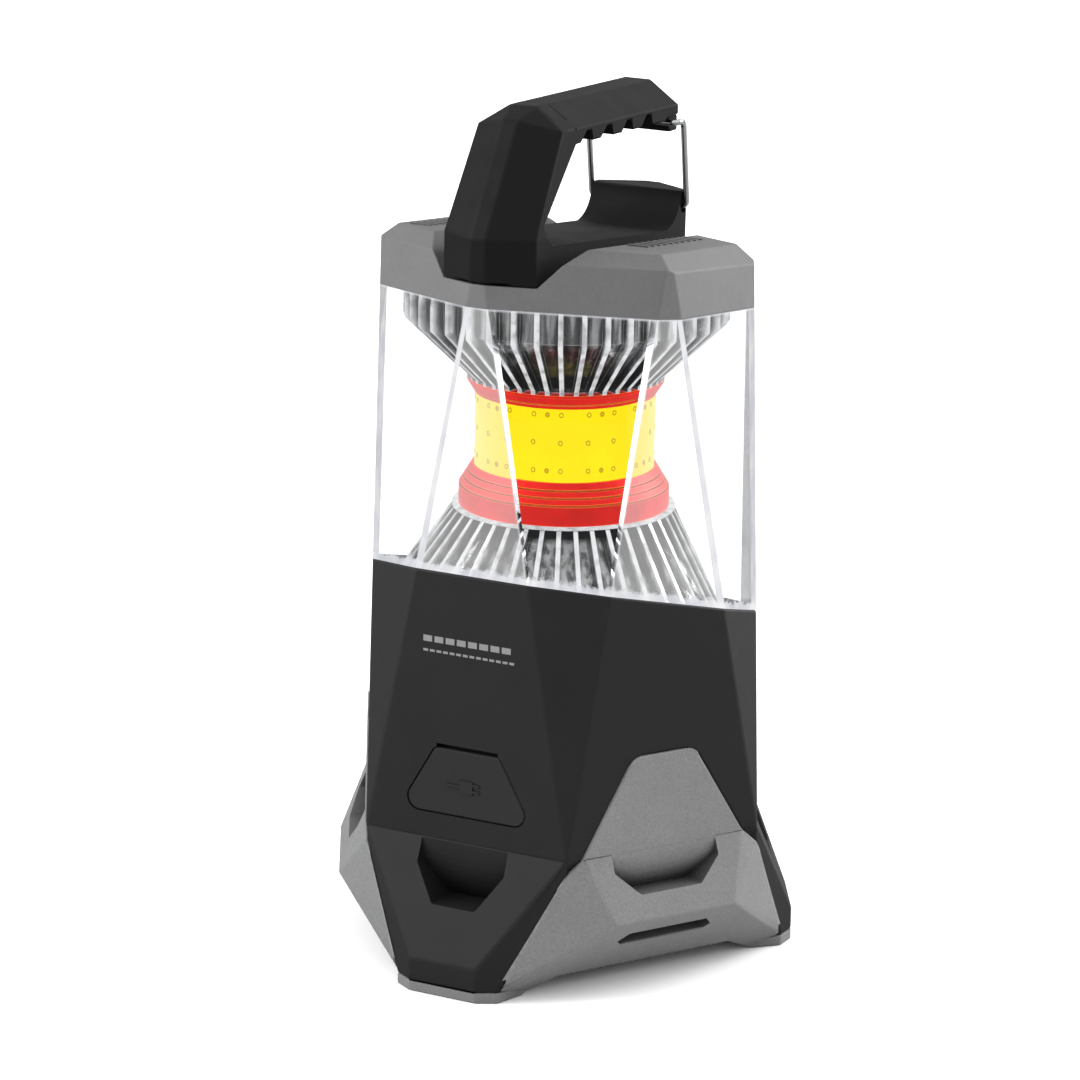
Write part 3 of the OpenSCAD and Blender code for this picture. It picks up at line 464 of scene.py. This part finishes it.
def raised(name, on, outlines, away, lift, sink, material):
    """Flat pads that stand lift above a CAD node. Outlines are dropped on it from far out along away."""
    bm = bmesh.new()
    bm.from_mesh(NODES[on].data)
    tree = BVHTree.FromBMesh(bm)
    bm.clear()
    away = Vector(away)
    for outline in outlines:
        foot, top = [], []
        for corner in outline:
            point = tree.ray_cast(corner + away * FAR_OUT, -away)[0]
            foot.append(bm.verts.new(point - away * sink))
            top.append(bm.verts.new(point + away * lift))
        bm.faces.new(top)
        bm.faces.new(foot[::-1])
        for i, first in enumerate(foot):
            j = (i + 1) % len(foot)
            bm.faces.new((first, foot[j], top[j], top[i]))
    bmesh.ops.recalc_face_normals(bm, faces=bm.faces)
    add_piece(name, bm, material, on)


def led_dot(bm, azimuth, height, hole):
    """A low ring on the lamp's tube. Azimuth is in degrees, height and the hole's radius in millimetres."""
    turn = math.radians(azimuth)
    out = Vector((math.sin(turn), -math.cos(turn), 0))
    aside = Vector((math.cos(turn), math.sin(turn), 0))
    up = Vector((0, 0, DOT_STRETCH))
    spokes = [aside * math.cos(t) + up * math.sin(t) for t in DOT_TURNS]
    rounds = []
    for radius, lift in ((0.62, -0.16), (0.58, 0.09), (hole, 0.09), (hole, -0.16)):
        centre = out * (TUBE_R + lift * MM) + Vector((0, 0, height * MM))
        rounds.append([bm.verts.new(centre + spoke * radius * MM) for spoke in spokes])
    for inner, outer in zip(rounds, rounds[1:] + rounds[:1]):
        for k in range(DOT_SIDES):
            n = (k + 1) % DOT_SIDES
            bm.faces.new((inner[k], inner[n], outer[n], outer[k]))


def led_dots():
    """Small diodes that show on the tube: a row of rings between two rows of ring, dot and ring."""
    bm = bmesh.new()
    for k in range(RINGS):
        led_dot(bm, 25.2 + 360 / RINGS * k, 130.1, RING_HOLE)
    for height in (137.0, 123.2):
        for k in range(GROUPS):
            for step, hole in ((-9, RING_HOLE), (0, DOT_HOLE), (9, RING_HOLE)):
                led_dot(bm, 16.5 + 360 / GROUPS * k + step, height, hole)
    bmesh.ops.recalc_face_normals(bm, faces=bm.faces)
    ochre = lit_phosphor("led_ochre", (0.62, 0.40, 0.0), (0.9, 0.72, 0.2), 1.0)
    add_piece("led_dots", bm, ochre, "light_tube")


def front_print():
    """Two rows of plain pale bars on the front face, where the real one has printing."""
    pale = moulded("pale_print", (0.27, 0.27, 0.275), 0.5, wear_and_highlight=0.0)
    rows = bars(8, (-11.3, 0, 85.3), (3.05, 0, 0), (2.4, 0, 0), (0, 0, 1.5))
    rows += bars(14, (-11.8, 0, 82.4), (1.8, 0, 0), (1.3, 0, 0), (0, 0, 0.6))
    raised("front_print", "housing", rows, (0, -1, 0), 0.03 * MM, 0.2 * MM, pale)


def cap_ribs():
    """Plain ribs on the two wings of the cap."""
    size = (5.4, 0, 0), (0, 1.3, 0)
    rows = bars(10, (24.4, -10.0, 0), (0, 3.2, 0), *size)
    rows += bars(7, (-29.6, -19.6, 0), (0, 3.2, 0), *size)
    raised("cap_ribs", "cap", rows, (0, 0, 1), 0.35 * MM, 0.4 * MM, MATERIALS["grey_plastic"])


# ---- floor, light and camera ----

# sideways and nearly level, from the object to the camera
TO_CAMERA = (math.sin(AZIMUTH), -math.cos(AZIMUTH), 0.1)
# the sky is graded between these heights of a unit direction, and the pairs are its brightness at both
SKY_LOW, SKY_HIGH = -0.1, 0.5
SKY_IN_MIRRORS = (0.12, 0.85)
SKY_FILL = (0.46, 0.98)


def floor():
    bpy.ops.mesh.primitive_plane_add(size=12, location=(0, 0, 0))
    plane = bpy.context.object
    plane.name = "floor"
    s = Shader("floor_paper")
    tone = s.between(s.noise(0.4, 3.0), 0.3, 0.7, 0.9, 0.93)
    # over-exposed to the camera, so that only contact shadows show
    depth = s.math("ADD", s.ray("Glossy Depth"), s.ray("Diffuse Depth"))
    tone = s.times(tone, s.between(depth, 0.0, 1.0, 1.5, 1.0))
    paper = s.node("BsdfDiffuse", {"Color": s.grey(tone), "Roughness": 0.3}).outputs[0]
    # painted shade: the floor is dark grey where it is seen in a reflection
    in_mirrors = s.surface({"Base Color": (0.25, 0.25, 0.25), "Roughness": 0.9})
    plane.data.materials.append(s.finish(s.over(s.bounces(), paper, in_mirrors)))


def world():
    """White behind the object, which mirrors a studio that is bright overhead and dim low down."""
    made = bpy.data.worlds.new("studio")
    bpy.context.scene.world = made
    s = Nodes(made, "World")
    direction = s.node("TexCoord", {}).outputs["Generated"]
    height = s.node("SeparateXYZ", {0: direction}).outputs["Z"]
    at_camera = s.dot(direction, TO_CAMERA)

    def studio(sky, start, end, dimmed):
        """The graded sky, dimmed round the camera: not at all at start, fully from end on."""
        grade = s.between(height, SKY_LOW, SKY_HIGH, *sky, kind="SMOOTHSTEP")
        return s.times(grade, s.between(at_camera, start, end, 1.0, dimmed, kind="SMOOTHSTEP"))

    behind = s.between(s.bounces(), 0.0, 1.0, 1.0, studio(SKY_IN_MIRRORS, 0.72, 0.9, 0.8))
    strength = s.between(s.ray("Diffuse Depth"), 0.0, 1.0, behind, studio(SKY_FILL, 0.55, 0.9, 0.35))
    s.finish(s.node("Background", {"Color": WHITE, "Strength": strength}).outputs[0])


def area_light(name, place, size, power):
    """A soft light box aimed at the middle of the object."""
    data = bpy.data.lights.new(name, "AREA")
    data.shape = "RECTANGLE"
    data.size, data.size_y = size
    data.energy = power
    light = bpy.data.objects.new(name, data)
    light.location = place
    light.rotation_mode = "QUATERNION"
    light.rotation_quaternion = (Vector((0, 0, 0.1)) - Vector(place)).to_track_quat("-Z", "Y")
    bpy.context.scene.collection.objects.link(light)


def camera():
    """Placed by azimuth and elevation from the front face, aimed near mid height."""
    right = Vector((math.cos(AZIMUTH), math.sin(AZIMUTH), 0))
    back = Vector((math.sin(AZIMUTH) * math.cos(ELEVATION), -math.cos(AZIMUTH) * math.cos(ELEVATION),
                   math.sin(ELEVATION)))
    up = back.cross(right)
    across = right * math.cos(ROLL) + up * math.sin(ROLL)
    upright = up * math.cos(ROLL) - right * math.sin(ROLL)
    place = right * ASIDE + Vector((0, 0, AIM_HEIGHT)) + back * DISTANCE
    data = bpy.data.cameras.new("camera")
    data.sensor_width = SENSOR_MM
    data.lens = FOCAL_MM
    data.clip_start = 0.05
    view = bpy.data.objects.new("camera", data)
    view.matrix_world = Matrix.Translation(place) @ Matrix((across, upright, back)).transposed().to_4x4()
    bpy.context.scene.collection.objects.link(view)
    bpy.context.scene.camera = view


# ---- the whole scene ----

for name, slot in SLOTS.items():
    NODES[name].data.materials.clear()
    NODES[name].data.materials.append(MATERIALS[slot])

door_low, door_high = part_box("port_door")
door_room = Vector((1.5 * MM, 9 * MM, 1.5 * MM))
softened("housing", 0.6 * MM, 2.6 * MM, crisp_box=(door_low - door_room, door_high + door_room))
softened("boot", 0.45 * MM, 2.6 * MM)
softened("cap", 0.4 * MM, 1.5 * MM)
softened("handle", 0.45 * MM, 1.0 * MM)

front_print()
cap_ribs()
led_dots()

floor()
world()
area_light("key", (-1.3, -0.9, 0.9), (1.0, 1.2), 18)
area_light("rim", (1.0, 1.2, 0.8), (0.8, 1.2), 24)
camera()

scene = bpy.context.scene
scene.view_settings.view_transform = "Standard"
scene.cycles.max_bounces = 24
scene.cycles.transmission_bounces = 24
scene.cycles.transparent_max_bounces = 16
